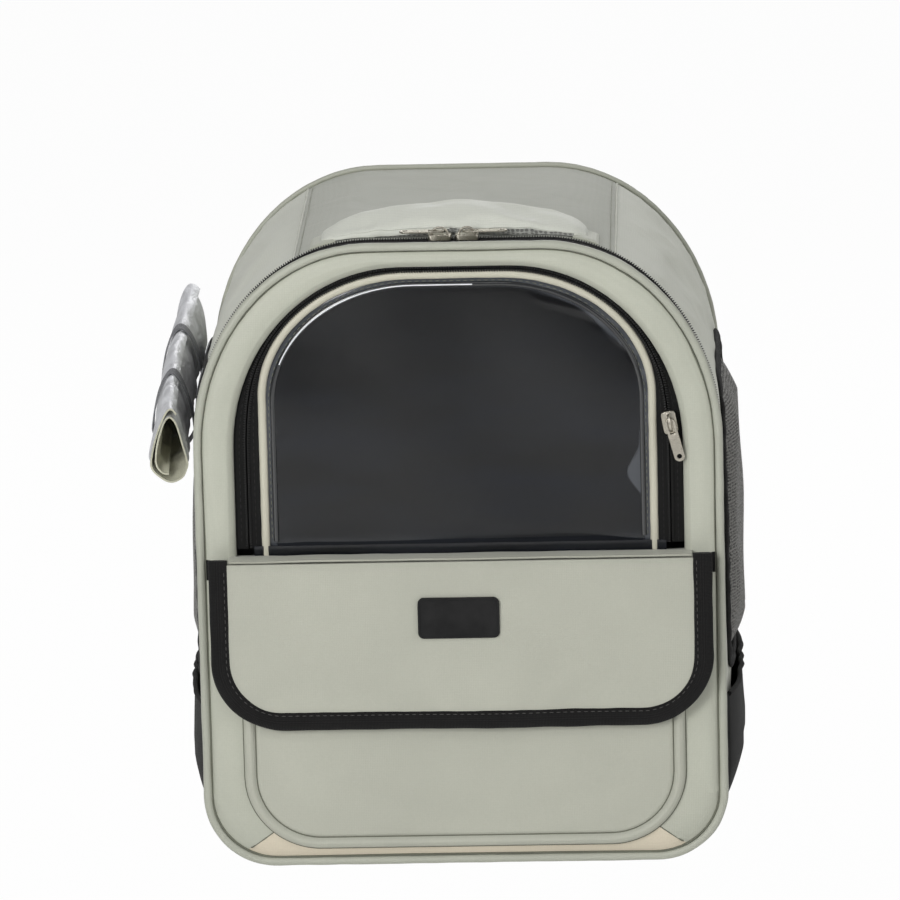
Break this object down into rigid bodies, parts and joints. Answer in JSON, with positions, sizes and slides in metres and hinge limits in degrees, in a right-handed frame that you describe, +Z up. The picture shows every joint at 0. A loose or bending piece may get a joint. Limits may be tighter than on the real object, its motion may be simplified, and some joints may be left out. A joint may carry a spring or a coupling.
{
  "type": "dog bicycle basket",
  "caption": "Soft-sided carrier for a small dog that hooks on a bicycle's handlebar, with a zipped front door and window, a flap pocket, mesh sides and a carry handle.",
  "frame": {"origin": "middle of the underside, on the plane that the base stands on", "axes": "+Z up, -Y out of the front door, +X to the right of someone who looks at the front"},
  "size_m": [0.3708, 0.2878, 0.421],
  "materials": {
    "cloth": "coated woven polyester, matt",
    "piping": "coated cloth over a cord, satin",
    "handle_cloth": "padded coated cloth, satin",
    "black_tape": "ribbed woven tape",
    "clear_sheet": "clear soft sheet, glossy",
    "grey_mesh": "open knitted mesh",
    "handle_mesh": "padded air mesh",
    "silver_cloth": "metallised reflective cloth",
    "board": "stiff moulded sheet",
    "cushion": "soft brushed cloth over foam",
    "plastic": "moulded, fine texture",
    "rubber": "moulded, matt",
    "metal": "satin nickel plated casting",
    "steel": "plated screw",
    "webbing": "woven webbing"
  },
  "bodies": {
    "carrier": {"base_panel": "cloth", "door_hinge_strip": "black_tape", "floor_board": "board", "floor_cushion": "cushion", "rear_panel": "cloth", "rear_board": "board", "rear_piping": "piping", "left_side_panel": "cloth", "right_side_panel": "cloth", "left_mesh": "grey_mesh", "right_mesh": "grey_mesh", "left_window_binding": "black_tape", "right_window_binding": "black_tape", "left_side_pocket": "black_tape", "right_side_pocket": "black_tape", "top_panel": "cloth", "body_zip_tape": "black_tape", "handle_end_left": "handle_cloth", "handle_end_right": "handle_cloth", "handle_tab_left": "black_tape", "handle_tab_right": "black_tape", "mount_plate": "plastic", "plate_screw_a": "steel", "plate_screw_b": "steel", "plate_screw_c": "steel", "plate_screw_d": "steel", "rear_pad": "rubber", "tether_stub": "webbing"},
    "front_door": {"door_panel": "cloth", "door_piping": "piping", "door_zip_tape": "black_tape", "window_outer_tape": "black_tape", "window_hinge_tape": "black_tape", "pocket_front": "cloth", "pocket_grip_tape": "black_tape", "flap_tab_left": "black_tape", "flap_tab_right": "black_tape"},
    "window_door": {"window_inner_tape": "black_tape", "window_trim": "piping", "window_pane": "clear_sheet"},
    "pocket_flap": {"flap_panel": "cloth", "flap_binding": "black_tape", "flap_grip_tape": "black_tape", "flap_patch": "black_tape"},
    "window_zip": {"window_slider": "metal"},
    "window_zip_pull": {"window_pull": "metal"},
    "door_zip_left": {"door_slider_left": "metal"},
    "door_zip_right": {"door_slider_right": "metal"},
    "door_zip_pull_left": {"door_pull_left": "metal"},
    "door_zip_pull_right": {"door_pull_right": "metal"},
    "handle": {"carry_handle": "handle_cloth", "handle_lining": "handle_mesh"},
    "cover": {"cover_roll": "silver_cloth", "cover_tie_front": "black_tape", "cover_tie_back": "black_tape"},
    "button": {"release_button": "plastic"},
    "tether": {"tether_strap": "webbing", "tether_swivel": "metal"},
    "tether_swivel_axis": {"snap_hook": "metal"},
    "tether_bolt": {"snap_hook_bolt": "metal"}
  },
  "joints": [
    {"name": "front_door", "type": "hinge", "parent": "carrier", "child": "front_door", "pos_m": [0, -0.112, 0.0045], "axis": [1, 0, 0], "range_deg": [0, 110]},
    {"name": "window_door", "type": "hinge", "parent": "front_door", "child": "window_door", "pos_m": [0, -0.12, 0.20275], "axis": [1, 0, 0], "range_deg": [0, 90]},
    {"name": "pocket_flap", "type": "hinge", "parent": "front_door", "child": "pocket_flap", "pos_m": [0, -0.1347, 0.2], "axis": [1, 0, 0], "range_deg": [-150, 0]},
    {"name": "window_zip", "type": "slide", "parent": "window_door", "child": "window_zip", "axis": [0, 0, -1], "range_m": [-0.008, 0.045]},
    {"name": "window_zip_pull", "type": "hinge", "parent": "window_zip", "child": "window_zip_pull", "pos_m": [0.13162, -0.1255, 0.28517], "axis": [-0.9659, 0, -0.2588], "range_deg": [0, 150]},
    {"name": "door_zip_left", "type": "slide", "parent": "carrier", "child": "door_zip_left", "axis": [-1, 0, 0], "range_m": [0, 0.05]},
    {"name": "door_zip_right", "type": "slide", "parent": "carrier", "child": "door_zip_right", "axis": [1, 0, 0], "range_m": [0, 0.05]},
    {"name": "door_zip_pull_left", "type": "hinge", "parent": "door_zip_left", "child": "door_zip_pull_left", "pos_m": [-0.0063, -0.10685, 0.4035], "axis": [0, 1, 0], "range_deg": [0, 120]},
    {"name": "door_zip_pull_right", "type": "hinge", "parent": "door_zip_right", "child": "door_zip_pull_right", "pos_m": [0.0063, -0.10685, 0.4035], "axis": [0, -1, 0], "range_deg": [0, 120]},
    {"name": "handle", "type": "slide", "parent": "carrier", "child": "handle", "axis": [0, 0, 1], "range_m": [0, 0.022], "deforming": ["handle_end_left", "handle_end_right"]},
    {"name": "cover", "type": "hinge", "parent": "carrier", "child": "cover", "pos_m": [-0.16659, -0.104, 0.2935], "axis": [0.0134, 0.9868, 0.1613], "range_deg": [0, 60]},
    {"name": "button", "type": "slide", "parent": "carrier", "child": "button", "axis": [0, 0, 1], "range_m": [-0.005, 0], "stiffness_N_per_m": 300},
    {"name": "tether", "type": "hinge", "parent": "carrier", "child": "tether", "pos_m": [0.06, 0.1061, 0.282], "axis": [-1, 0, 0], "range_deg": [0, 60]},
    {"name": "tether_swivel", "type": "hinge", "parent": "tether", "child": "tether_swivel_axis", "pos_m": [0.06, 0.1071, 0.1554], "axis": [0, 0, -1], "range_deg": [0, 180]},
    {"name": "tether_bolt", "type": "slide", "parent": "tether_swivel_axis", "child": "tether_bolt", "axis": [0, 0, 1], "range_m": [0, 0.006], "stiffness_N_per_m": 150}
  ]
}
